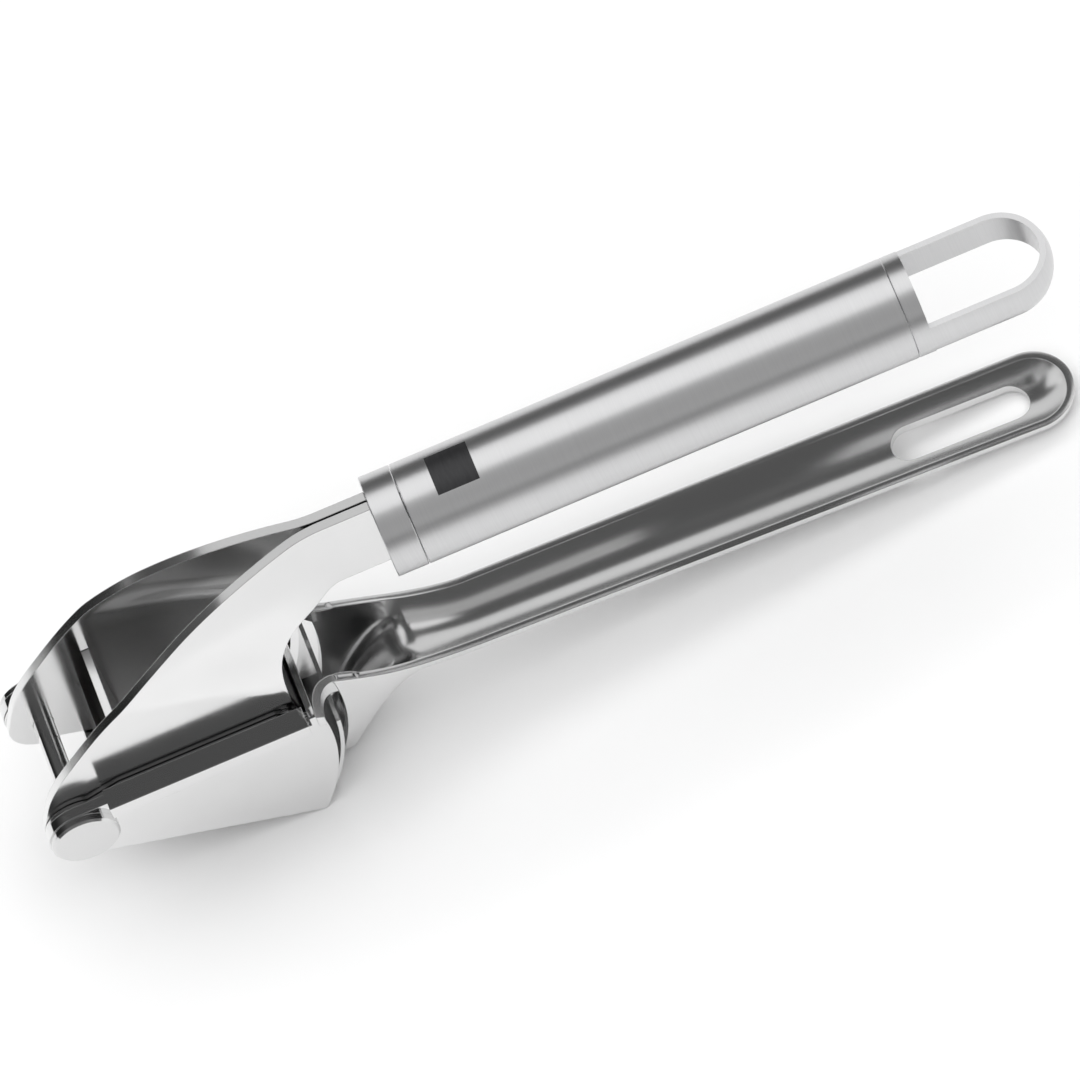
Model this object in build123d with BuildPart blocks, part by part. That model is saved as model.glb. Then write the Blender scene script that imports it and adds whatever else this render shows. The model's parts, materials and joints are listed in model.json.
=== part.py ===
from build123d import *
from math import cos, exp, pi, radians, sin, sqrt, tanh
import os

# Garlic press with two levers and a swing-out sieve insert, all stainless steel.
# It is drawn in a working frame: origin on the axle, +X along the handles, +Z up,
# the right-hand side towards -Y. place() stands the finished pieces on Z = 0.

# ---- driving dimensions, mm ----
axle_r = 1.95
running_gap = 0.05
cap_r = 6.4
cap_thick = 1.6

tube_r = 9.5
tube_wall = 0.8
tube_z = 33.5
collar_x = 70.3
tube_front_x = 76.3
tube_rear_x = 170.4
loop_root_x = 173.5
loop_tip_x = 199.2
loop_half_height = 3.7
loop_wall = 1.1

arm_thick = 1.8
arm_outer_y = 11.9
neck_outer_y = 2.0
neck_bottom_z = 25.0
neck_top_z = 43.0
ear_r = 6.5
arm_reach = 44.6
neck_front_x = 60.5
neck_rear_x = 69.0
tang_end_x = 112.0
tang_half_height = 7.5
arm_side_z = -5.0
pin_places_x = (86.0, 104.0)
pin_r = 1.5

cheek_inner_y = 12.9
cheek_thick = 2.0
cheek_reach = 48.1
cheek_ear_r = 6.7
flange_outer_y = 17.3
flange_top_z = 8.3
flange_drop = 3.3
flange_front_x = 6.3
flange_rear_x = 44.8
shoulder_z = 4.2
bridge_x = 45.4
bridge_half = 16.0
bridge_thick = 1.2

floor_slope = radians(23.1)
basket_outer_y = 12.75
basket_sheet = 0.7
basket_half_gap = 9.9
plate_top = -5.5
plate_sheet = 0.8
front_wall_x = 8.5
rear_wall_r = 45.5
wall_top_z = 4.0
basket_top_z = 7.5
lip_r = 49.4
lip_rise = 1.3
hole_r = 0.9
hole_pitch = 3.0

plunger_front_x = 12.1
plunger_top_z = 17.5
plunger_sheet = 1.5
foot_top = -3.4
foot_bottom = -4.9

sheet = 1.4
half_steps = 8
handle_front_r = 52.0
handle_tip_x = 196.5
slot_front_x = 161.0
slot_rear_x = 187.8
slot_half_width = 3.7

stand_tilt = 4.284


def soft_step(t):
    """0 to 1 with a level start and end."""
    t = min(max(t, 0.0), 1.0)
    return t * t * (3 - 2 * t)


def floor_point(along, above):
    """A point in the XZ plane, measured along and square to the sloping hopper floor."""
    return (
        along * cos(floor_slope) + above * sin(floor_slope),
        above * cos(floor_slope) - along * sin(floor_slope),
    )


def over_floor(x, above):
    """The point at this X on the line at this height over the sloping floor."""
    return (x, (above - x * sin(floor_slope)) / cos(floor_slope))


def polar(radius, degrees):
    """A point on a circle about the axle, by its angle above the X axis."""
    return (radius * cos(radians(degrees)), radius * sin(radians(degrees)))


def on_circle(radius, above):
    """Where the line at this height over the hopper floor meets a circle about the axle."""
    return floor_point(sqrt(radius**2 - above**2), above)


def at_height(radius, z):
    """Where the level line at this Z meets a circle about the axle."""
    return (sqrt(radius**2 - z**2), z)


# ---- upper lever: the two arms ----
def bend_ramp(t, first=0.4, last=0.12):
    """0 to 1: a straight ramp with a long bend at its start and a short one at its end."""
    t = min(max(t, 0.0), 1.0)
    straight = 1 - first / 2 - last / 2
    if t < first:
        return t * t / (2 * first * straight)
    if t > 1 - last:
        return 1 - (1 - t) ** 2 / (2 * last * straight)
    return (t - first / 2) / straight


def arm_y(x, z):
    """Outer face of an arm: parallel at the hopper, closing to the neck in a 3-D S-bend."""
    below = 29.5 - z
    below = (below + sqrt(below**2 + 16)) / 2
    start = 5.0 + 41.0 * tanh(below / 12.0)
    return arm_outer_y - (arm_outer_y - neck_outer_y) * bend_ramp((x - start) / (61.0 - start))


def cross_plane(x):
    """Plane square to X, drawn in (Y, Z)."""
    return Plane(origin=(x, 0, 0), x_dir=(0, 1, 0), z_dir=(1, 0, 0))


def make_arm_sheet():
    """A block of the arm's sheet, larger all round than the arm that is cut from it."""
    heights = [-24 + 3.5 * i for i in range(21)]
    with BuildPart() as block:
        for x in [-9 + 2.5 * i for i in range(33)]:
            with BuildSketch(cross_plane(x)):
                with BuildLine():
                    outer = Spline(*[(-arm_y(x, z), z) for z in heights])
                    inner = Spline(*[(arm_thick - arm_y(x, z), z) for z in heights])
                    Line(outer @ 0, inner @ 0)
                    Line(outer @ 1, inner @ 1)
                make_face()
        loft()
    return block.part


arm_sheet = make_arm_sheet()
pin_points = [(x, tube_z) for x in pin_places_x]

with BuildPart() as right_arm:
    with BuildSketch(Plane.XZ):
        with BuildLine():
            top = Spline(
                polar(ear_r, 158),
                (-3.5, 8.8),
                (4, 18.2),
                (12, 25.8),
                (21, 32.1),
                (30, 36.9),
                (39, 40.1),
                (48, 42.1),
                (57, neck_top_z),
                tangents=[(0.37, 0.93), (1, 0)],
            )
            Line(top @ 1, (neck_rear_x, neck_top_z))
            Line((neck_rear_x, neck_top_z), (neck_rear_x, neck_bottom_z))
            Line((neck_rear_x, neck_bottom_z), (neck_front_x, neck_bottom_z))
            rear = Spline(
                (neck_front_x, neck_bottom_z),
                (55, 23.2),
                (48.5, 21.6),
                (45, 18.8),
                (43.9, 14),
                polar(arm_reach, 9),
                tangents=[(-1, 0), (0.16, -1)],
            )
            low = on_circle(arm_reach, arm_side_z)
            ThreePointArc(rear @ 1, polar(arm_reach, -10), low)
            front = on_circle(ear_r, arm_side_z)
            Line(low, front)
            ThreePointArc(front, polar(ear_r, -140), top @ 0)
        make_face()
    extrude(amount=arm_outer_y + 1)
    add(arm_sheet.solids()[0], mode=Mode.INTERSECT)
    with BuildSketch(Plane.XZ.offset(neck_outer_y)):
        with Locations((neck_rear_x, neck_bottom_z)):
            Rectangle(collar_x - neck_rear_x, neck_top_z - neck_bottom_z, align=Align.MIN)
        with Locations((collar_x, tube_z)):
            Rectangle(tang_end_x - collar_x, 2 * tang_half_height, align=(Align.MIN, Align.CENTER))
    extrude(amount=-arm_thick)
    with BuildSketch(Plane.XZ):
        Circle(axle_r + running_gap)
        with Locations(*pin_points):
            Circle(pin_r)
    extrude(amount=arm_outer_y + 1, mode=Mode.SUBTRACT)

with BuildPart() as left_arm:
    mirror(right_arm.part, about=Plane.XZ)

# ---- upper lever: the plunger between the arms ----
plunger_half = arm_outer_y - arm_thick - 0.1

with BuildPart() as plunger_shell:
    with BuildSketch(Plane.XZ.offset(-plunger_half)):
        with BuildLine():
            inner_r = arm_reach - plunger_sheet
            inner_x = plunger_front_x + plunger_sheet
            top_out = polar(arm_reach, 15)
            top_in = polar(inner_r, 15)
            out_low = on_circle(arm_reach, foot_top)
            in_low = on_circle(inner_r, foot_top + plunger_sheet)
            Line(top_in, top_out)
            ThreePointArc(top_out, polar(arm_reach, -5), out_low)
            Polyline(
                out_low,
                over_floor(plunger_front_x, foot_top),
                (plunger_front_x, plunger_top_z),
                (inner_x, plunger_top_z),
                over_floor(inner_x, foot_top + plunger_sheet),
                in_low,
            )
            ThreePointArc(in_low, polar(inner_r, -5), top_in)
        make_face()
    extrude(amount=2 * plunger_half)

with BuildPart() as plunger_foot:
    with BuildSketch(Plane.XZ.offset(-plunger_half)):
        with BuildLine():
            foot_rear = on_circle(arm_reach, foot_bottom)
            foot_mid = on_circle(arm_reach, (foot_bottom + foot_top) / 2)
            Polyline(
                on_circle(arm_reach, foot_top),
                over_floor(plunger_front_x, foot_top),
                over_floor(plunger_front_x, foot_bottom),
                foot_rear,
            )
            ThreePointArc(foot_rear, foot_mid, on_circle(arm_reach, foot_top))
        make_face()
    extrude(amount=2 * plunger_half)

# ---- upper lever: the tube handle ----
tube_plane = Plane(origin=(0, 0, tube_z), x_dir=(0, 1, 0), z_dir=(1, 0, 0))
tang_slot = (2 * neck_outer_y + 2 * running_gap, 2 * tang_half_height + 2 * running_gap)
badge_front_x = 82.4
badge_length = 7.9
badge_half_angle = 26
badge_depth = 0.3
seam = 0.12
slip_gap = 0.05

with BuildPart() as front_collar:
    with BuildSketch(tube_plane.offset(collar_x)):
        Circle(tube_r)
        Rectangle(*tang_slot, mode=Mode.SUBTRACT)
    extrude(amount=tube_front_x - collar_x - seam)
    chamfer(front_collar.edges().filter_by(GeomType.CIRCLE), length=0.15)


def badge_block(depth):
    """The curved plate let into the top of the tube."""
    with BuildPart() as block:
        with BuildSketch(tube_plane.offset(badge_front_x)):
            with BuildLine():
                side = radians(90 - badge_half_angle)
                inner = tube_r - depth
                right_out = (tube_r * cos(side), tube_r * sin(side))
                right_in = (inner * cos(side), inner * sin(side))
                left_out = (-right_out[0], right_out[1])
                left_in = (-right_in[0], right_in[1])
                ThreePointArc(right_out, (0, tube_r), left_out)
                Line(left_out, left_in)
                ThreePointArc(left_in, (0, inner), right_in)
                Line(right_in, right_out)
            make_face()
        extrude(amount=badge_length)
    return block.part


badge_recess = badge_block(badge_depth)

with BuildPart() as handle_tube:
    with BuildSketch(tube_plane.offset(tube_front_x)):
        Circle(tube_r)
        Circle(tube_r - tube_wall, mode=Mode.SUBTRACT)
    extrude(amount=tube_rear_x - tube_front_x - seam)
    chamfer(handle_tube.edges().filter_by(GeomType.CIRCLE).group_by(SortBy.RADIUS)[-1], length=0.12)
    add(badge_recess, mode=Mode.SUBTRACT)

with BuildPart() as badge_inlay:
    add(badge_block(badge_depth - 0.02))

with BuildPart() as tang_holder:
    with BuildSketch(tube_plane.offset(tube_front_x)):
        Circle(tube_r - tube_wall - slip_gap)
        Rectangle(*tang_slot, mode=Mode.SUBTRACT)
    extrude(amount=tang_end_x + 4 - tube_front_x)
    with BuildSketch(Plane.XZ.offset(-tube_r)):
        with Locations(*pin_points):
            Circle(pin_r)
    extrude(amount=2 * tube_r, mode=Mode.SUBTRACT)

with BuildPart() as tang_pins:
    with BuildSketch(Plane.XZ.offset(-7.5)):
        with Locations(*pin_points):
            Circle(pin_r)
    extrude(amount=15)

with BuildPart() as end_plug:
    with BuildSketch(tube_plane.offset(tube_rear_x - 12)):
        Circle(tube_r - tube_wall - slip_gap)
    extrude(amount=12)
    chamfer(end_plug.faces().sort_by(Axis.X)[0].edges(), length=0.6)

loop_centre_x = loop_tip_x - tube_r
loop_gap = sqrt(tube_r**2 - loop_half_height**2) - loop_wall

with BuildPart() as hanging_loop:
    with BuildSketch(tube_plane.offset(loop_root_x)):
        Circle(tube_r)
    extrude(amount=loop_centre_x - loop_root_x)
    with Locations((loop_centre_x, 0, tube_z)):
        Sphere(tube_r)
    with BuildSketch(Plane.XY.offset(tube_z - loop_half_height)):
        with Locations((loop_root_x, 0)):
            Rectangle(40, 30, align=(Align.MIN, Align.CENTER))
    extrude(amount=2 * loop_half_height, mode=Mode.INTERSECT)
    with BuildSketch(Plane.XY.offset(tube_z - tube_r)):
        with Locations((loop_root_x, 0)):
            Rectangle(loop_centre_x - loop_root_x, 2 * loop_gap, align=(Align.MIN, Align.CENTER))
        with Locations((loop_centre_x, 0)):
            Circle(loop_gap)
    extrude(amount=2 * tube_r, mode=Mode.SUBTRACT)
    with BuildSketch(tube_plane.offset(tube_rear_x)):
        Circle(tube_r)
    extrude(amount=loop_root_x - tube_rear_x)

# ---- axle ----
axle_half = cheek_inner_y + cheek_thick

with BuildPart() as axle_rod:
    with BuildSketch(Plane.XZ.offset(-axle_half)):
        Circle(axle_r)
    extrude(amount=2 * axle_half)

with BuildPart() as right_axle_cap:
    with BuildSketch(Plane.XZ.offset(axle_half)):
        Circle(cap_r)
    extrude(amount=cap_thick)
    chamfer(right_axle_cap.faces().sort_by(Axis.Y)[0].edges(), length=0.45)

with BuildPart() as left_axle_cap:
    mirror(right_axle_cap.part, about=Plane.XZ)

# ---- lower lever: the cheeks of the hopper ----
with BuildPart() as right_cheek:
    with BuildSketch(Plane.XZ.offset(cheek_inner_y)):
        with BuildLine():
            tail = on_circle(cheek_reach, -cheek_ear_r)
            heel = floor_point(0, -cheek_ear_r)
            shoulder = at_height(cheek_reach, shoulder_z)
            Polyline(heel, tail)
            ThreePointArc(tail, polar(cheek_reach, -12), shoulder)
            Polyline(
                shoulder,
                (flange_rear_x, shoulder_z),
                (flange_rear_x, flange_top_z),
                (flange_front_x, flange_top_z),
                (flange_front_x, cheek_ear_r),
                (0, cheek_ear_r),
            )
            ThreePointArc((0, cheek_ear_r), (-cheek_ear_r, 0), heel)
        make_face()
        Circle(axle_r, mode=Mode.SUBTRACT)
    extrude(amount=cheek_thick)
    with BuildSketch(Plane.YZ.offset(flange_front_x)):
        with Locations((-flange_outer_y, flange_top_z - flange_drop)):
            Rectangle(flange_outer_y - cheek_inner_y, flange_drop, align=Align.MIN)
    extrude(amount=flange_rear_x - flange_front_x)
    fillet(
        right_cheek.edges().filter_by(Axis.X).group_by(Axis.Z)[-1].sort_by(Axis.Y)[0], radius=0.3
    )

with BuildPart() as left_cheek:
    mirror(right_cheek.part, about=Plane.XZ)

with BuildPart() as rear_bridge:
    with BuildSketch(Plane.XY.offset(flange_top_z - flange_drop)):
        with Locations((bridge_x, 0)):
            Rectangle(bridge_thick, 2 * bridge_half, align=(Align.MIN, Align.CENTER))
    extrude(amount=flange_drop)


# ---- lower lever: the stamped handle with its scoop and horn ----
def rim_z(x):
    """Height of the handle's rim: a straight run that sweeps up to the hopper's flange."""
    rise = max(0.0, (80 - x) / 33.5)
    return -4.9 - 0.045 * (x - 80) + 11.7 * rise**1.7


def rim_half_width(x):
    return 7.5 + 0.007 * max(0.0, x - 80) + 1.25 * soft_step((80 - x) / 22)


def underside_z(x):
    """Lowest line of the sheet: shallow under the channel, deep at the horn."""
    fall = max(0.0, (68 - x) / 19)
    deep = rim_z(x) - 3.9 - 28.9 * fall**1.5
    return deep if deep > -23 else -24 + exp(deep + 23)


def outer_half(x):
    """Right half of the sheet's outside, from the rim to the centre line: a super-ellipse."""
    power = 3.0 + 2.0 * soft_step((70 - x) / 18)
    half = rim_half_width(x)
    depth = rim_z(x) - underside_z(x)
    points = [(half, rim_z(x))]
    for i in range(1, half_steps):
        angle = pi / 2 * i / half_steps
        points.append((half * cos(angle) ** (2 / power), rim_z(x) - depth * sin(angle) ** (2 / power)))
    return points + [(0, rim_z(x) - depth)]


def inner_half(x):
    """Right half of the inside: a shallow dish behind, a deep trough towards the horn."""
    power = 2.0 + 7.0 * soft_step((70 - x) / 18)
    half = rim_half_width(x) - sheet
    depth = rim_z(x) - underside_z(x) - 1.1 * sheet
    steps = [cos(pi / 2 * i / half_steps) for i in range(half_steps)] + [0]
    return [(half * step, rim_z(x) - depth * (1 - step**power)) for step in steps]


def mirrored(points):
    return [(-y, z) for y, z in points]


def handle_sections(stations):
    """The handle's sheet, lofted through its cross-sections at these places."""
    with BuildPart() as run:
        for x in stations:
            with BuildSketch(cross_plane(x)):
                with BuildLine():
                    for points in (outer_half(x), inner_half(x)):
                        Spline(*points)
                        Spline(*mirrored(points))
                    Line(outer_half(x)[0], inner_half(x)[0])
                    Line(mirrored(outer_half(x))[0], mirrored(inner_half(x))[0])
                make_face()
        loft()
    return run.part


def handle_bowl():
    """The round end of the channel: its own section turned about a vertical line."""
    with BuildPart() as bowl:
        with BuildSketch(cross_plane(bowl_x)):
            with BuildLine():
                outer = Spline(*outer_half(bowl_x))
                inner = Spline(*inner_half(bowl_x))
                Line(outer @ 0, inner @ 0)
                Line(outer @ 1, inner @ 1)
            make_face()
        revolve(axis=Axis((bowl_x, 0, 0), (0, 0, -1)), revolution_arc=180)
    return bowl.part


straight_x = 80.0
bowl_x = handle_tip_x - rim_half_width(188)
scoop_front_x = 43.0
scoop_step = (straight_x - scoop_front_x) / 15
strap_low_z = 5.0

with BuildPart() as handle_front:
    add(handle_sections([scoop_front_x + scoop_step * i for i in range(16)]))
    with BuildSketch(Plane.XZ.offset(-20)):
        Circle(handle_front_r)
    extrude(amount=40, mode=Mode.SUBTRACT)

with BuildPart() as handle_run:
    add(handle_sections([straight_x, bowl_x]))
    with BuildSketch(Plane.XY.offset(-30)):
        with Locations(((slot_front_x + slot_rear_x) / 2, 0)):
            SlotOverall(slot_rear_x - slot_front_x, 2 * slot_half_width)
    extrude(amount=60, mode=Mode.SUBTRACT)

handle_shape = handle_front.part + handle_run.part + handle_bowl()

with BuildPart() as lower_handle:
    add(handle_shape)


def make_rim_strap():
    """The rim's front end, flared outwards in an S to the flange's rear corner."""
    with BuildPart() as strap:
        with BuildSketch(Plane.XY):
            with BuildLine() as path:
                Spline(
                    (56.5, -8.0),
                    (52.6, -7.7),
                    (49.9, -8.9),
                    (48.2, -11.2),
                    (47.5, -13.5),
                    (47.3, -16.2),
                )
            trace(path.line, line_width=sheet)
        extrude(amount=12, both=True)
        with BuildSketch(Plane.XZ):
            with BuildLine():
                top = Spline(*[(x, rim_z(x)) for x in (46, 49, 52, 55, 58)])
                Polyline(top @ 1, (58, 0), (52.3, 0.8), (48.5, 4.6), (46, strap_low_z), top @ 0)
            make_face()
        extrude(amount=18, mode=Mode.INTERSECT)
    return strap.part


right_strap = (make_rim_strap() - lower_handle.part).solids().sort_by(SortBy.VOLUME)[-1]

with BuildPart() as rim_straps:
    add(right_strap)
    mirror(right_strap, about=Plane.XZ)

# ---- sieve insert ----
side_bottom = plate_top - plate_sheet
wall_outer_r = rear_wall_r + plate_sheet
plate_half = basket_outer_y - basket_sheet

with BuildPart() as right_basket_side:
    with BuildSketch(Plane.XZ.offset(plate_half)):
        with BuildLine():
            rear_low = on_circle(wall_outer_r, side_bottom)
            rear_high = at_height(wall_outer_r, wall_top_z)
            front_low = on_circle(ear_r, side_bottom)
            ear_top = polar(ear_r, 70)
            Line(front_low, rear_low)
            ThreePointArc(rear_low, polar(wall_outer_r, -12), rear_high)
            Polyline(rear_high, (40, basket_top_z), (9.5, basket_top_z), (3, 5.75), ear_top)
            ThreePointArc(ear_top, (-ear_r, 0), front_low)
        make_face()
        Circle(axle_r + running_gap, mode=Mode.SUBTRACT)
    extrude(amount=basket_sheet)

with BuildPart() as left_basket_side:
    mirror(right_basket_side.part, about=Plane.XZ)

floor_low = floor_point(0, side_bottom)
floor_plane = Plane(
    origin=(floor_low[0], 0, floor_low[1]),
    x_dir=(cos(floor_slope), 0, -sin(floor_slope)),
    z_dir=(sin(floor_slope), 0, cos(floor_slope)),
)
plate_front = 8.6
plate_rear = sqrt(rear_wall_r**2 - side_bottom**2)

with BuildPart() as sieve_plate:
    with BuildSketch(floor_plane):
        with Locations((plate_front, 0)):
            Rectangle(plate_rear - plate_front, 2 * plate_half, align=(Align.MIN, Align.CENTER))
        with Locations(((plate_front + plate_rear) / 2 + 1.5, 0)):
            with GridLocations(hole_pitch, hole_pitch, 9, 7):
                Circle(hole_r, mode=Mode.SUBTRACT)
    extrude(amount=plate_sheet)

with BuildPart() as basket_front_wall:
    with BuildSketch(Plane.XZ.offset(-basket_half_gap)):
        with BuildLine():
            wall_back_x = front_wall_x + plate_sheet
            Polyline(
                over_floor(front_wall_x, plate_top),
                over_floor(wall_back_x, plate_top),
                (wall_back_x, basket_top_z),
                (front_wall_x, basket_top_z),
                close=True,
            )
        make_face()
    extrude(amount=2 * basket_half_gap)

with BuildPart() as basket_rear_wall:
    with BuildSketch(Plane.XZ.offset(-plate_half)):
        with BuildLine():
            inner_low = on_circle(rear_wall_r, side_bottom)
            inner_high = at_height(rear_wall_r, wall_top_z)
            outer_low = on_circle(wall_outer_r, side_bottom)
            outer_high = at_height(wall_outer_r, wall_top_z)
            ThreePointArc(inner_low, polar(rear_wall_r, -12), inner_high)
            Line(inner_high, outer_high)
            ThreePointArc(outer_high, polar(wall_outer_r, -12), outer_low)
            Line(outer_low, inner_low)
        make_face()
    extrude(amount=2 * plate_half)

with BuildPart() as thumb_lip:
    with BuildSketch(Plane.XZ.offset(-plate_half)):
        with BuildLine():
            lip_out_r = lip_r + plate_sheet
            shelf_low = side_bottom + lip_rise
            shelf_high = plate_top + lip_rise
            lip_out_low = on_circle(lip_out_r, shelf_low)
            lip_in_low = on_circle(lip_r, shelf_high)
            wall_low = on_circle(wall_outer_r, shelf_low)
            wall_mid = on_circle(wall_outer_r, (shelf_low + shelf_high) / 2)
            wall_high = on_circle(wall_outer_r, shelf_high)
            ThreePointArc(lip_out_low, polar(lip_out_r, -15), polar(lip_out_r, -3))
            Line(polar(lip_out_r, -3), polar(lip_r, -3))
            ThreePointArc(polar(lip_r, -3), polar(lip_r, -15), lip_in_low)
            Line(lip_in_low, wall_high)
            ThreePointArc(wall_high, wall_mid, wall_low)
            Line(wall_low, lip_out_low)
        make_face()
    extrude(amount=2 * plate_half)

pieces = {
    "left_arm": left_arm,
    "right_arm": right_arm,
    "plunger_shell": plunger_shell,
    "plunger_foot": plunger_foot,
    "front_collar": front_collar,
    "handle_tube": handle_tube,
    "badge_inlay": badge_inlay,
    "tang_holder": tang_holder,
    "tang_pins": tang_pins,
    "end_plug": end_plug,
    "hanging_loop": hanging_loop,
    "axle_rod": axle_rod,
    "left_axle_cap": left_axle_cap,
    "right_axle_cap": right_axle_cap,
    "left_cheek": left_cheek,
    "right_cheek": right_cheek,
    "rear_bridge": rear_bridge,
    "lower_handle": lower_handle,
    "rim_straps": rim_straps,
    "left_basket_side": left_basket_side,
    "right_basket_side": right_basket_side,
    "sieve_plate": sieve_plate,
    "basket_front_wall": basket_front_wall,
    "basket_rear_wall": basket_rear_wall,
    "thumb_lip": thumb_lip,
}


def stand_place():
    """Tips the press until cheeks and handle end rest on Z = 0, centred on its own box."""
    tipped = Rotation(0, stand_tilt, 0)
    box = Compound([tipped * piece.part for piece in pieces.values()]).bounding_box()
    return Pos(-box.center().X, 0, -box.min.Z) * tipped


place = stand_place()
print("axle at", (place * Pos(0, 0, 0)).position)
os.makedirs("parts", exist_ok=True)
for name, piece in pieces.items():
    piece.part = place * piece.part
    piece.part.label = name
    export_step(piece.part, f"parts/{name}.step")
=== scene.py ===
import json
import math

import bmesh
import bpy
import numpy as np
from mathutils import Matrix, Vector


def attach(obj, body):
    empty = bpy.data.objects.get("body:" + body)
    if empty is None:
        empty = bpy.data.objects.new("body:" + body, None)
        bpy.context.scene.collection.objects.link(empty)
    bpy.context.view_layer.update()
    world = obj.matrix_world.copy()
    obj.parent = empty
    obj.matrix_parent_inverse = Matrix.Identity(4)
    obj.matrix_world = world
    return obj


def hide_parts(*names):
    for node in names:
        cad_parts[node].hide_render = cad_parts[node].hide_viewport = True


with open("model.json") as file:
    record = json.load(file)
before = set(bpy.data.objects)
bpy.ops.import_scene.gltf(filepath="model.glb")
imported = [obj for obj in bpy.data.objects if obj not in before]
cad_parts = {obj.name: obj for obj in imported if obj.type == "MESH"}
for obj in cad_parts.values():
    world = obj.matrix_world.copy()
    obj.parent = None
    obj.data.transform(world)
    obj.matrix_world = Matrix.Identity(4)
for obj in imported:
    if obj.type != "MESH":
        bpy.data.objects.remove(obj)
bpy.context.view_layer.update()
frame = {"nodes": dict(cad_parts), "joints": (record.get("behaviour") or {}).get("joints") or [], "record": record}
slot_of = {part["node"]: part["material_slot"] for part in frame["record"]["subparts"]}

# ---- the press's own directions, tipped as it stands on the floor ----
STAND_TILT = math.radians(4.284)
TIP = Matrix.Rotation(STAND_TILT, 3, "Y")
joint = next(j for j in frame["joints"] if j["name"] == "lever_hinge")
AXLE = Vector(joint["pos_m"])


def at(x, y, z):
    """A point given in millimetres from the axle, along and square to the handles."""
    return AXLE + TIP @ Vector((x, y, z)) / 1000


# ---- camera ----
VIEW_ELEVATION = math.radians(58.5)
VIEW_ROLL = math.radians(22.8)
VIEW_DISTANCE = 1450
AIM = (95.8, 0.0, 8.2)
LENS = 269.0


def make_camera():
    """Looks down from the right-hand side, rolled so the handles rise to the upper right."""
    back = Vector((0, -math.cos(VIEW_ELEVATION), math.sin(VIEW_ELEVATION)))
    over = Vector((0, math.sin(VIEW_ELEVATION), math.cos(VIEW_ELEVATION)))
    along = Vector((1, 0, 0))
    right = TIP @ (along * math.cos(VIEW_ROLL) - over * math.sin(VIEW_ROLL))
    up = TIP @ (along * math.sin(VIEW_ROLL) + over * math.cos(VIEW_ROLL))
    towards = TIP @ back
    data = bpy.data.cameras.new("camera")
    data.lens = LENS
    data.sensor_width = 36.0
    data.clip_end = 20.0
    camera = bpy.data.objects.new("camera", data)
    bpy.context.scene.collection.objects.link(camera)
    turn = Matrix((right, up, towards)).transposed().to_4x4()
    place = at(*AIM) + towards * VIEW_DISTANCE / 1000
    camera.matrix_world = Matrix.Translation(place) @ turn
    bpy.context.scene.camera = camera


# ---- material helpers ----
class Nodes:
    """Adds shader nodes and links them in one call each."""

    def __init__(self, name):
        self.material = bpy.data.materials.new(name)
        self.material.use_nodes = True
        self.tree = self.material.node_tree
        self.shader = self.tree.nodes["Principled BSDF"]

    def add(self, kind, inputs=None, **settings):
        node = self.tree.nodes.new(kind)
        for key, value in settings.items():
            setattr(node, key, value)
        for key, value in (inputs or {}).items():
            self.put(node.inputs[key], value)
        return node

    def put(self, socket, value):
        if isinstance(value, bpy.types.NodeSocket):
            self.tree.links.new(value, socket)
        else:
            socket.default_value = value

    def place(self, scale):
        """The object's own coordinates, stretched by a scale for each axis."""
        coordinates = self.add("ShaderNodeTexCoord").outputs["Object"]
        mapping = self.add("ShaderNodeMapping", {"Vector": coordinates, "Scale": scale})
        return mapping.outputs["Vector"]

    def noise(self, scale, size=1.0, detail=3.0):
        inputs = {"Vector": self.place(scale), "Scale": size, "Detail": detail}
        return self.add("ShaderNodeTexNoise", inputs).outputs["Fac"]

    def between(self, value, low, high):
        """Maps 0..1 noise to low..high."""
        node = self.add("ShaderNodeMapRange", {"Value": value, "To Min": low, "To Max": high})
        return node.outputs["Result"]

    def mix(self, factor, low, high):
        node = self.add("ShaderNodeMix", data_type="RGBA")
        self.put(node.inputs["Factor"], factor)
        self.put(node.inputs["A"], low)
        self.put(node.inputs["B"], high)
        return node.outputs["Result"]

    def bump(self, height, strength, distance, normal=None):
        node = self.add("ShaderNodeBump", {"Height": height, "Strength": strength, "Distance": distance})
        if normal:
            self.put(node.inputs["Normal"], normal)
        return node.outputs["Normal"]


def polished_steel(name="polished_steel", tone=0.8, smooth=0.03, dull=0.09):
    """Polished sheet: faint waviness, cloudy haze in the polish and slightly broken edges."""
    m = Nodes(name)
    haze = m.noise((1, 1, 1), size=90, detail=4)
    m.put(m.shader.inputs["Metallic"], 1.0)
    m.put(m.shader.inputs["Base Color"], m.mix(haze, (tone, tone, tone, 1), (tone * 0.95,) * 3 + (1,)))
    m.put(m.shader.inputs["Roughness"], m.between(haze, smooth, dull))
    wave = m.noise((1, 1, 1), size=45, detail=1)
    edge = m.add("ShaderNodeBevel", {"Radius": 0.0002}, samples=4).outputs["Normal"]
    m.put(m.shader.inputs["Normal"], m.bump(wave, 0.06, 0.001, edge))
    return m.material


def satin_steel():
    """Satin tube: fine lines round the tube, softly varied in tone."""
    m = Nodes("satin_steel")
    lines = m.noise((9000, 60, 60), size=1, detail=3)
    haze = m.noise((1, 1, 1), size=60, detail=3)
    m.put(m.shader.inputs["Metallic"], 1.0)
    m.put(m.shader.inputs["Base Color"], m.mix(lines, (0.58, 0.58, 0.585, 1), (0.66, 0.66, 0.665, 1)))
    m.put(m.shader.inputs["Roughness"], m.between(haze, 0.28, 0.34))
    m.put(m.shader.inputs["Normal"], m.bump(lines, 0.05, 0.00005))
    return m.material


def sieve_steel():
    """Pressed sheet of the insert: bright, a little hazier than the polished levers."""
    return polished_steel("sieve_steel", tone=0.78, smooth=0.12, dull=0.2)


def plain_steel():
    return polished_steel("plain_steel", tone=0.6, smooth=0.25, dull=0.35)


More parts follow.
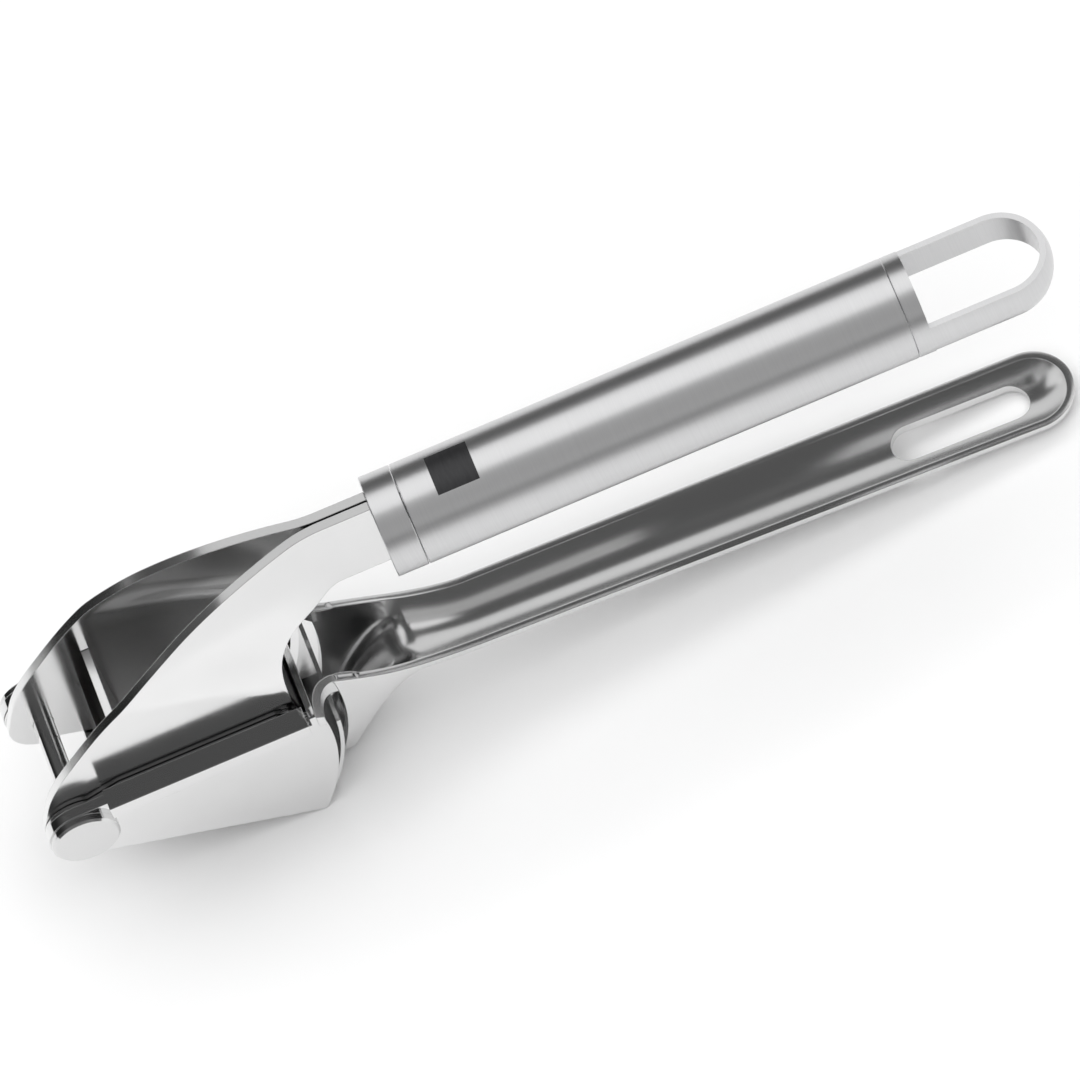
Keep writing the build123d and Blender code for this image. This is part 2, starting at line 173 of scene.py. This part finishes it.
def dark_inlay():
    """Plain dark plate with a fine satin grain and slightly lighter flecks."""
    m = Nodes("dark_inlay")
    grain = m.noise((2500, 400, 400), size=1, detail=3)
    m.put(m.shader.inputs["Base Color"], m.mix(grain, (0.028, 0.028, 0.03, 1), (0.055, 0.055, 0.058, 1)))
    m.put(m.shader.inputs["Metallic"], 0.4)
    m.put(m.shader.inputs["Roughness"], m.between(grain, 0.34, 0.48))
    m.put(m.shader.inputs["Normal"], m.bump(grain, 0.08, 0.00003))
    return m.material


MATERIALS = {
    "polished_steel": polished_steel(),
    "satin_steel": satin_steel(),
    "plain_steel": plain_steel(),
    "sieve_steel": sieve_steel(),
    "dark_inlay": dark_inlay(),
}
SOFT_STEEL = polished_steel("soft_polished_steel", tone=0.8, smooth=0.18, dull=0.26)
CAP_STEEL = polished_steel("cap_polished_steel", tone=0.72, smooth=0.05, dull=0.1)
CLOUDY_STEEL = polished_steel("cloudy_polished_steel", tone=0.82, smooth=0.08, dull=0.2)
HAZY_STEEL = polished_steel("hazy_steel", tone=0.8, smooth=0.35, dull=0.45)
FINISHES = {
    "lower_handle": SOFT_STEEL,
    "rim_straps": SOFT_STEEL,
    "left_axle_cap": CAP_STEEL,
    "right_axle_cap": CAP_STEEL,
    "left_arm": CLOUDY_STEEL,
    "right_arm": CLOUDY_STEEL,
    "plunger_shell": HAZY_STEEL,
    "plunger_foot": HAZY_STEEL,
}


def dress_nodes():
    """Gives every CAD node its own finish, or else the material of its slot."""
    for name, node in frame["nodes"].items():
        material = FINISHES.get(name, MATERIALS[slot_of[name]])
        for slot in node.material_slots:
            slot.material = material


# ---- smooth sheet pieces: the stamped shapes at a finer mesh, millimetres from the axle ----
SHEET = 1.4
HANDLE_FRONT_R = 52.0
SCOOP_FRONT_X = 43.0
STRAIGHT_X = 80.0
BOWL_X = 188.244
SLOT = (161.0, 187.8, 3.7)
HALF_STEPS = 56


def soft_step(t):
    t = min(max(t, 0.0), 1.0)
    return t * t * (3 - 2 * t)


def rim_z(x):
    """Height of the handle's rim."""
    rise = max(0.0, (STRAIGHT_X - x) / 33.5)
    return -4.9 - 0.045 * (x - STRAIGHT_X) + 11.7 * rise**1.7


def rim_half_width(x):
    return 7.5 + 0.007 * max(0.0, x - STRAIGHT_X) + 1.25 * soft_step((STRAIGHT_X - x) / 22)


def underside_z(x):
    """Lowest line of the sheet: shallow under the channel, deep at the horn."""
    fall = max(0.0, (68 - x) / 19)
    deep = rim_z(x) - 3.9 - 28.9 * fall**1.5
    return deep if deep > -23 else -24 + math.exp(deep + 23)


def even_points(curve):
    """The same curve as points at even spacing along it."""
    curve = np.array(curve)
    steps = np.hypot(*np.diff(curve, axis=0).T)
    run = np.concatenate(([0], np.cumsum(steps)))
    places = np.linspace(0, run[-1], HALF_STEPS)
    return [(np.interp(p, run, curve[:, 0]), np.interp(p, run, curve[:, 1])) for p in places]


def half_profile(x):
    """Half a cross-section of the handle: inside from the centre out, rim, then outside back in."""
    level = rim_z(x)
    dense = [math.pi / 2 * i / 400 for i in range(401)]
    inner_half = rim_half_width(x) - SHEET
    inner_depth = level - underside_z(x) - 1.1 * SHEET
    inner_power = 2.0 + 7.0 * soft_step((70 - x) / 18)
    inside = [
        (inner_half * math.sin(a), level - inner_depth * (1 - math.sin(a) ** inner_power)) for a in dense
    ]
    outer_half = rim_half_width(x)
    outer_depth = level - underside_z(x)
    power = 2 / (3.0 + 2.0 * soft_step((70 - x) / 18))
    outside = [
        (outer_half * abs(math.cos(a)) ** power, level - outer_depth * math.sin(a) ** power) for a in dense
    ]
    outside[-1] = (0.0, level - outer_depth)
    return round_rim(even_points(inside), even_points(outside))


def round_rim(inside, outside, radius=0.12):
    """Joins the two sides over the rim with two small rounded corners."""
    def corner(before, at_corner, after):
        before, at_corner, after = np.array(before), np.array(at_corner), np.array(after)
        back = radius * (before - at_corner) / np.linalg.norm(before - at_corner)
        on = radius * (after - at_corner) / np.linalg.norm(after - at_corner)
        return [tuple(at_corner + back), tuple(at_corner + 0.3 * (back + on)), tuple(at_corner + on)]

    first = corner(inside[-2], inside[-1], outside[0])
    second = corner(inside[-1], outside[0], outside[1])
    return inside[:-1] + first + second + outside[1:]


def scoop_rows():
    """Right-hand rows of the scoop, trimmed to start on a cylinder about the axle."""
    stations = np.linspace(SCOOP_FRONT_X, STRAIGHT_X, 150)
    profiles = np.array([half_profile(x) for x in stations])
    count = profiles.shape[1]
    along = 75
    scoop = np.zeros((along, count, 3))
    for j in range(count):
        y, z = profiles[:, j, 0], profiles[:, j, 1]
        outside = np.hypot(stations, z) - HANDLE_FRONT_R
        first = int(np.argmax(outside > 0))
        share = outside[first] / (outside[first] - outside[first - 1])
        start = stations[first] - share * (stations[first] - stations[first - 1])
        places = start + (STRAIGHT_X - start) * np.linspace(0, 1, along)
        scoop[:, j] = np.array([places, np.interp(places, stations, y), np.interp(places, stations, z)]).T
    return list(scoop)


def handle_grid():
    """Rows of points: along the right side, round the end, and back along the left side."""
    rows = scoop_rows()
    for x in np.arange(82.0, BOWL_X - 0.5, 2.0):
        rows.append(np.array([(x, y, z) for y, z in half_profile(x)]))
    end = np.array(half_profile(BOWL_X))
    for turn in np.linspace(0, math.pi, 61):
        rows.append(np.array([(BOWL_X + y * math.sin(turn), y * math.cos(turn), z) for y, z in end]))
    right = [row for row in rows if row[0][0] < BOWL_X - 0.4]
    for row in reversed(right):
        rows.append(row * np.array([1, -1, 1]))
    return rows


def closed_mesh(build, name):
    """Turns the faces outward and makes a mesh of what was built."""
    bmesh.ops.recalc_face_normals(build, faces=build.faces)
    mesh = bpy.data.meshes.new(name)
    build.to_mesh(mesh)
    build.free()
    return mesh


def new_object(name, mesh):
    """A finished piece, moved from millimetres about the axle into the row's frame."""
    place = Matrix.Translation(AXLE) @ TIP.to_4x4() @ Matrix.Scale(0.001, 4)
    mesh.transform(place)
    thing = bpy.data.objects.new(name, mesh)
    bpy.context.scene.collection.objects.link(thing)
    return thing


def joined(mesh, cutter, operation):
    """The mesh after an exact Boolean with another mesh, both still in millimetres."""
    body = bpy.data.objects.new("body", mesh)
    tool = bpy.data.objects.new("tool", cutter)
    for thing in (body, tool):
        bpy.context.scene.collection.objects.link(thing)
    boolean = body.modifiers.new("cut", "BOOLEAN")
    boolean.operation = operation
    boolean.solver = "EXACT"
    boolean.object = tool
    bpy.context.view_layer.update()
    ready = body.evaluated_get(bpy.context.evaluated_depsgraph_get())
    result = bpy.data.meshes.new_from_object(ready)
    for thing in (body, tool):
        bpy.data.objects.remove(thing)
    return result


def prism(outlines, low, high, upright=False):
    """Solid walls between two planes over closed outlines: along Y, or along Z if upright."""
    build = bmesh.new()
    for outline in outlines:
        rings = []
        for level in (low, high):
            places = [(u, v, level) if upright else (u, level, v) for u, v in outline]
            rings.append([build.verts.new(place) for place in places])
        build.faces.new(rings[0])
        build.faces.new(rings[1])
        size = len(outline)
        for i in range(size):
            j = (i + 1) % size
            build.faces.new((rings[0][i], rings[0][j], rings[1][j], rings[1][i]))
    return closed_mesh(build, "prism")


def slot_outline(front, rear, half, steps=48):
    """A straight slot with round ends."""
    points = []
    for i in range(steps + 1):
        turn = math.pi / 2 + math.pi * i / steps
        points.append((front + half + half * math.cos(turn), half * math.sin(turn)))
    for i in range(steps + 1):
        turn = -math.pi / 2 + math.pi * i / steps
        points.append((rear - half + half * math.cos(turn), half * math.sin(turn)))
    return points


def fine_handle():
    """The stamped lower handle: a closed sheet with its slot cut out."""
    rows = handle_grid()
    build = bmesh.new()
    grid = [[build.verts.new(point) for point in row] for row in rows]
    count = len(rows[0])
    for before, after in zip(grid, grid[1:]):
        for j in range(count - 1):
            build.faces.new((before[j], before[j + 1], after[j + 1], after[j]))
    for row in (grid[0], grid[-1]):
        for j in range(count // 2 - 1):
            build.faces.new((row[j], row[j + 1], row[count - 2 - j], row[count - 1 - j]))
    bmesh.ops.remove_doubles(build, verts=build.verts, dist=1e-4)
    mesh = closed_mesh(build, "handle")
    return joined(mesh, prism([slot_outline(*SLOT)], -40.0, 20.0, upright=True), "DIFFERENCE")


ARM_THICK = 1.8
ARM_OUTER_Y = 11.9
NECK_OUTER_Y = 2.0
ARM_REACH = 44.6
ARM_SIDE_Z = -5.0
EAR_R = 6.5
NECK_TOP_Z = 43.0
NECK_BOTTOM_Z = 25.0
COLLAR_X = 70.3
TUBE_Z = 33.5
TANG_HALF_HEIGHT = 7.5
TANG_END_X = 112.0
PIN_PLACES_X = (86, 104)
PIN_R = 1.5
BORE_R = 2.0
HOPPER_SLOPE = math.radians(23.1)


def bend_ramp(t, first=0.4, last=0.12):
    """0 to 1: a straight ramp with a long bend at its start and a short one at its end."""
    t = min(max(t, 0.0), 1.0)
    straight = 1 - first / 2 - last / 2
    if t < first:
        return t * t / (2 * first * straight)
    if t > 1 - last:
        return 1 - (1 - t) ** 2 / (2 * last * straight)
    return (t - first / 2) / straight


def arm_y(x, z):
    """Outer face of an arm: parallel at the hopper, closing to the neck in a 3-D S-bend."""
    below = 29.5 - z
    below = (below + math.sqrt(below**2 + 16)) / 2
    start = 5.0 + 41.0 * math.tanh(below / 12.0)
    return ARM_OUTER_Y - (ARM_OUTER_Y - NECK_OUTER_Y) * bend_ramp((x - start) / (61.0 - start))


def polar(radius, degrees):
    return (radius * math.cos(math.radians(degrees)), radius * math.sin(math.radians(degrees)))


def on_circle(radius, above):
    """Where the line at this height over the hopper floor meets a circle about the axle."""
    along = math.sqrt(radius**2 - above**2)
    return (
        along * math.cos(HOPPER_SLOPE) + above * math.sin(HOPPER_SLOPE),
        above * math.cos(HOPPER_SLOPE) - along * math.sin(HOPPER_SLOPE),
    )


def arc(start, end, radius, steps=40):
    """Points of an arc about the axle, between two angles in degrees."""
    return [
        polar(radius, start + (end - start) * i / steps)
        for i in range(steps + 1)
    ]


def smooth_curve(points, first, last, steps=12):
    """A curve through the points, with the given directions at its ends."""
    points = np.array(points, float)
    gaps = np.hypot(*np.diff(points, axis=0).T)
    size = len(points)
    matrix = np.zeros((size, size))
    right = np.zeros((size, 2))
    matrix[0, 0] = matrix[-1, -1] = 1
    right[0] = np.array(first) / np.hypot(*first)
    right[-1] = np.array(last) / np.hypot(*last)
    for i in range(1, size - 1):
        before, after = gaps[i - 1], gaps[i]
        matrix[i, i - 1 : i + 2] = (after, 2 * (before + after), before)
        rise_before = (points[i] - points[i - 1]) / before
        rise_after = (points[i + 1] - points[i]) / after
        right[i] = 3 * (after * rise_before + before * rise_after)
    slopes = np.linalg.solve(matrix, right)
    result = []
    for i in range(size - 1):
        for step in range(steps):
            t = step / steps
            result.append(
                (2 * t**3 - 3 * t**2 + 1) * points[i]
                + (t**3 - 2 * t**2 + t) * gaps[i] * slopes[i]
                + (3 * t**2 - 2 * t**3) * points[i + 1]
                + (t**3 - t**2) * gaps[i] * slopes[i + 1]
            )
    result.append(points[-1])
    return [tuple(point) for point in result]


def angle_of(point):
    return math.degrees(math.atan2(point[1], point[0]))


def arm_outline():
    """Side view of an arm with its neck and the tang inside the tube."""
    top = smooth_curve(
        [polar(EAR_R, 158), (-3.5, 8.8), (4, 18.2), (12, 25.8), (21, 32.1), (30, 36.9), (39, 40.1),
         (48, 42.1), (57, NECK_TOP_Z)],
        (0.37, 0.93),
        (1, 0),
    )
    tang_top = TUBE_Z + TANG_HALF_HEIGHT
    tang_bottom = TUBE_Z - TANG_HALF_HEIGHT
    tang = [
        (COLLAR_X, NECK_TOP_Z),
        (COLLAR_X, tang_top),
        (TANG_END_X, tang_top),
        (TANG_END_X, tang_bottom),
        (COLLAR_X, tang_bottom),
        (COLLAR_X, NECK_BOTTOM_Z),
    ]
    rear = smooth_curve(
        [(60.5, NECK_BOTTOM_Z), (55, 23.2), (48.5, 21.6), (45, 18.8), (43.9, 14), polar(ARM_REACH, 9)],
        (-1, 0),
        (0.16, -1),
    )
    low, front = on_circle(ARM_REACH, ARM_SIDE_Z), on_circle(EAR_R, ARM_SIDE_Z)
    behind = arc(9, angle_of(low), ARM_REACH)
    ear = arc(angle_of(front), 158 - 360, EAR_R)
    return top + tang + rear + behind[1:] + ear[:-1]


def sheet_block():
    """The arm's sheet before it is cut out: a fine grid on each face."""
    columns = list(np.arange(-9.0, 71.01, 0.8)) + [113.0]
    levels = list(np.arange(-24.0, 46.01, 0.8))
    build = bmesh.new()
    faces = []
    for inset in (0.0, ARM_THICK):
        faces.append([[build.verts.new((x, inset - arm_y(x, z), z)) for z in levels] for x in columns])
    for grid in faces:
        for before, after in zip(grid, grid[1:]):
            for k in range(len(levels) - 1):
                build.faces.new((before[k], before[k + 1], after[k + 1], after[k]))
    outer, inner = faces
    borders = [
        ([column[0] for column in outer], [column[0] for column in inner]),
        ([column[-1] for column in outer], [column[-1] for column in inner]),
        (outer[0], inner[0]),
        (outer[-1], inner[-1]),
    ]
    for one, two in borders:
        for i in range(len(one) - 1):
            build.faces.new((one[i], one[i + 1], two[i + 1], two[i]))
    return closed_mesh(build, "sheet")


def round_hole(x, z, radius, steps=64):
    return [
        (x + radius * math.cos(2 * math.pi * i / steps), z + radius * math.sin(2 * math.pi * i / steps))
        for i in range(steps)
    ]


def fine_arm():
    """The right arm: the sheet cut to its outline, with the bores for axle and pins."""
    mesh = joined(sheet_block(), prism([arm_outline()], -20.0, 5.0), "INTERSECT")
    holes = [round_hole(0, 0, BORE_R)] + [round_hole(x, TUBE_Z, PIN_R) for x in PIN_PLACES_X]
    return joined(mesh, prism(holes, -21.0, 6.0), "DIFFERENCE")


def arm_normal(x, z):
    """Outward direction of the right arm's outer face."""
    step = 0.05
    slope_x = (arm_y(x + step, z) - arm_y(x - step, z)) / (2 * step)
    slope_z = (arm_y(x, z + step) - arm_y(x, z - step)) / (2 * step)
    return Vector((-slope_x, -1.0, -slope_z)).normalized()


def smooth_shading(mesh, sheet_normal=None):
    """Smooth over curves and sharp at corners; sheet faces take their true direction."""
    for polygon in mesh.polygons:
        polygon.use_smooth = True
    mesh.set_sharp_from_angle(angle=math.radians(28))
    if sheet_normal is None:
        return
    normals = [Vector(corner.vector) for corner in mesh.corner_normals]
    for polygon in mesh.polygons:
        for index in polygon.loop_indices:
            point = mesh.vertices[mesh.loops[index].vertex_index].co
            true = sheet_normal(point.x, point.z)
            lean = true.dot(polygon.normal)
            if abs(lean) > 0.97:
                normals[index] = true if lean > 0 else -true
    mesh.normals_split_custom_set(normals)


def stand_for(piece, node, body):
    """Shows a finer mesh in place of a CAD node, on the same body."""
    piece.data.materials.clear()
    piece.data.materials.append(FINISHES[node])
    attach(piece, body)
    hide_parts(node)


def make_sheet_pieces():
    """The handle and both arms, the left arm being the right one's mirror image."""
    handle = fine_handle()
    smooth_shading(handle)
    stand_for(new_object("fine_lower_handle", handle), "lower_handle", "lower_lever")
    right = fine_arm()
    left = right.copy()
    left.transform(Matrix.Scale(-1, 4, (0, 1, 0)))
    left.flip_normals()
    smooth_shading(right, arm_normal)
    smooth_shading(left, lambda x, z: arm_normal(x, z) * Vector((1, -1, 1)))
    stand_for(new_object("fine_right_arm", right), "right_arm", "upper_lever")
    stand_for(new_object("fine_left_arm", left), "left_arm", "upper_lever")


# ---- floor, world and lights ----
# angle from straight up, positive towards the right-hand side, and the studio's grey there
WORLD_GREYS = [
    (-180, 0.6),
    (-97, 0.6),
    (-88, 0.1),
    (-40, 0.09),
    (40, 0.1),
    (75, 0.25),
    (92, 0.6),
    (180, 0.6),
]


def pale_floor():
    m = Nodes("pale_floor")
    grain = m.noise((1, 1, 1), size=25, detail=2)
    m.put(m.shader.inputs["Base Color"], m.mix(grain, (0.93, 0.93, 0.93, 1), (0.95, 0.95, 0.95, 1)))
    m.put(m.shader.inputs["Roughness"], 0.7)
    m.put(m.shader.inputs["Specular IOR Level"], 0.1)
    return m.material


def make_floor():
    mesh = bpy.data.meshes.new("floor")
    half = 3.0
    corners = [(-half, -half, 0), (half, -half, 0), (half, half, 0), (-half, half, 0)]
    mesh.from_pydata(corners, [], [(0, 1, 2, 3)])
    mesh.materials.append(pale_floor())
    floor = bpy.data.objects.new("floor", mesh)
    bpy.context.scene.collection.objects.link(floor)
    return floor


def make_world():
    """A studio as strips along the handles: each grey by its angle about the X axis."""
    world = bpy.data.worlds.new("studio")
    bpy.context.scene.world = world
    world.use_nodes = True
    tree = world.node_tree
    background = tree.nodes["Background"]
    coordinates = tree.nodes.new("ShaderNodeTexCoord")
    split = tree.nodes.new("ShaderNodeSeparateXYZ")
    turn = tree.nodes.new("ShaderNodeMath")
    turn.operation = "ARCTAN2"
    away = tree.nodes.new("ShaderNodeMath")
    away.operation = "MULTIPLY"
    away.inputs[1].default_value = -1.0
    scale = tree.nodes.new("ShaderNodeMapRange")
    scale.inputs["From Min"].default_value = -math.pi
    scale.inputs["From Max"].default_value = math.pi
    ramp = tree.nodes.new("ShaderNodeValToRGB")
    ramp.color_ramp.interpolation = "EASE"
    tree.links.new(coordinates.outputs["Generated"], split.inputs["Vector"])
    tree.links.new(split.outputs["Y"], away.inputs[0])
    tree.links.new(away.outputs["Value"], turn.inputs[0])
    tree.links.new(split.outputs["Z"], turn.inputs[1])
    tree.links.new(turn.outputs["Value"], scale.inputs["Value"])
    tree.links.new(scale.outputs["Result"], ramp.inputs["Fac"])
    ramp.color_ramp.elements.remove(ramp.color_ramp.elements[1])
    for index, (degrees, grey) in enumerate(WORLD_GREYS):
        place = (degrees + 180) / 360
        element = ramp.color_ramp.elements[0] if index == 0 else ramp.color_ramp.elements.new(place)
        element.position = place
        element.color = (grey, grey, grey, 1)
    tree.links.new(ramp.outputs["Color"], background.inputs["Color"])
    ends = tree.nodes.new("ShaderNodeMath")
    ends.operation = "ABSOLUTE"
    fade = tree.nodes.new("ShaderNodeMapRange")
    fade.inputs["From Min"].default_value = 0.5
    fade.inputs["From Max"].default_value = 0.8
    fade.inputs["To Min"].default_value = 1.0
    fade.inputs["To Max"].default_value = 0.2
    tree.links.new(split.outputs["X"], ends.inputs[0])
    tree.links.new(ends.outputs["Value"], fade.inputs["Value"])
    tree.links.new(fade.outputs["Result"], background.inputs["Strength"])


def only_on(light, name, objects):
    """Limits a light to some objects."""
    group = bpy.data.collections.new(name)
    for thing in objects:
        group.objects.link(thing)
    light.light_linking.receiver_collection = group


def panel(name, place, aim, size, power):
    """A soft rectangular light that faces a point."""
    data = bpy.data.lights.new(name, "AREA")
    data.shape = "RECTANGLE"
    data.size, data.size_y = size
    data.energy = power
    light = bpy.data.objects.new(name, data)
    bpy.context.scene.collection.objects.link(light)
    direction = Vector(place) - Vector(aim)
    light.matrix_world = Matrix.Translation(place) @ direction.to_track_quat("Z", "Y").to_matrix().to_4x4()
    return light


def shown_in(*wanted):
    """Every object, carried over or new, whose material is one of these."""
    return [
        thing for thing in bpy.context.scene.objects
        if thing.type == "MESH" and any(place.material in wanted for place in thing.material_slots)
    ]


def make_lights(floor):
    """Each light reaches one group of objects only, so that each finish is lit on its own."""
    polished = [MATERIALS["polished_steel"], MATERIALS["sieve_steel"], SOFT_STEEL, CLOUDY_STEEL, CAP_STEEL]
    bright = shown_in(*polished)
    satin = shown_in(MATERIALS["satin_steel"], MATERIALS["dark_inlay"])
    soft = shown_in(SOFT_STEEL)
    # name, group, what it lights, place, aim, size, power
    lights = [
        ("floor_light", "lit_floor", [floor], (0, 0, 2.0), (0, 0, 0), (4.0, 4.0), 96),
        ("side_card", "lit_polished", bright, (0.0, 1.3, 0.53), (0, 0, 0.03), (3.0, 1.05), 6.4),
        ("tube_strip", "lit_tube", satin, (0.0, 0.35, 1.0), (0, 0, 0.06), (2.4, 0.95), 8.6),
        ("tube_fill", "lit_tube_fill", satin, (0.0, -0.55, 0.9), (0, 0, 0.06), (2.4, 1.3), 3.6),
        ("arm_card", "lit_arms", shown_in(CLOUDY_STEEL), (-0.1, 0.575, 0.94), (0, 0, 0.05), (0.8, 0.75), 1.1),
        ("scoop_card", "lit_scoop", soft, (0.7, 0.2, 0.9), (-0.04, 0, 0.02), (0.6, 0.6), 1.0),
        ("end_card", "lit_end", soft, (-0.7, 0.4, 0.8), (0.09, 0, 0.01), (0.6, 0.6), 0.9),
        ("inner_card", "lit_plunger", shown_in(HAZY_STEEL), (0.0, 0.0, 0.9), (0, 0, 0.03), (2.4, 1.2), 14),
    ]
    for name, group, objects, place, aim, size, power in lights:
        only_on(panel(name, place, aim, size, power), group, objects)
    # the tube would draw stripes in the polished channel under it, so reflections leave it out
    for thing in satin:
        thing.visible_glossy = not thing.name.startswith("handle_tube")


bpy.context.scene.view_settings.view_transform = "Standard"
make_camera()
dress_nodes()
make_sheet_pieces()
floor_object = make_floor()
make_world()
make_lights(floor_object)
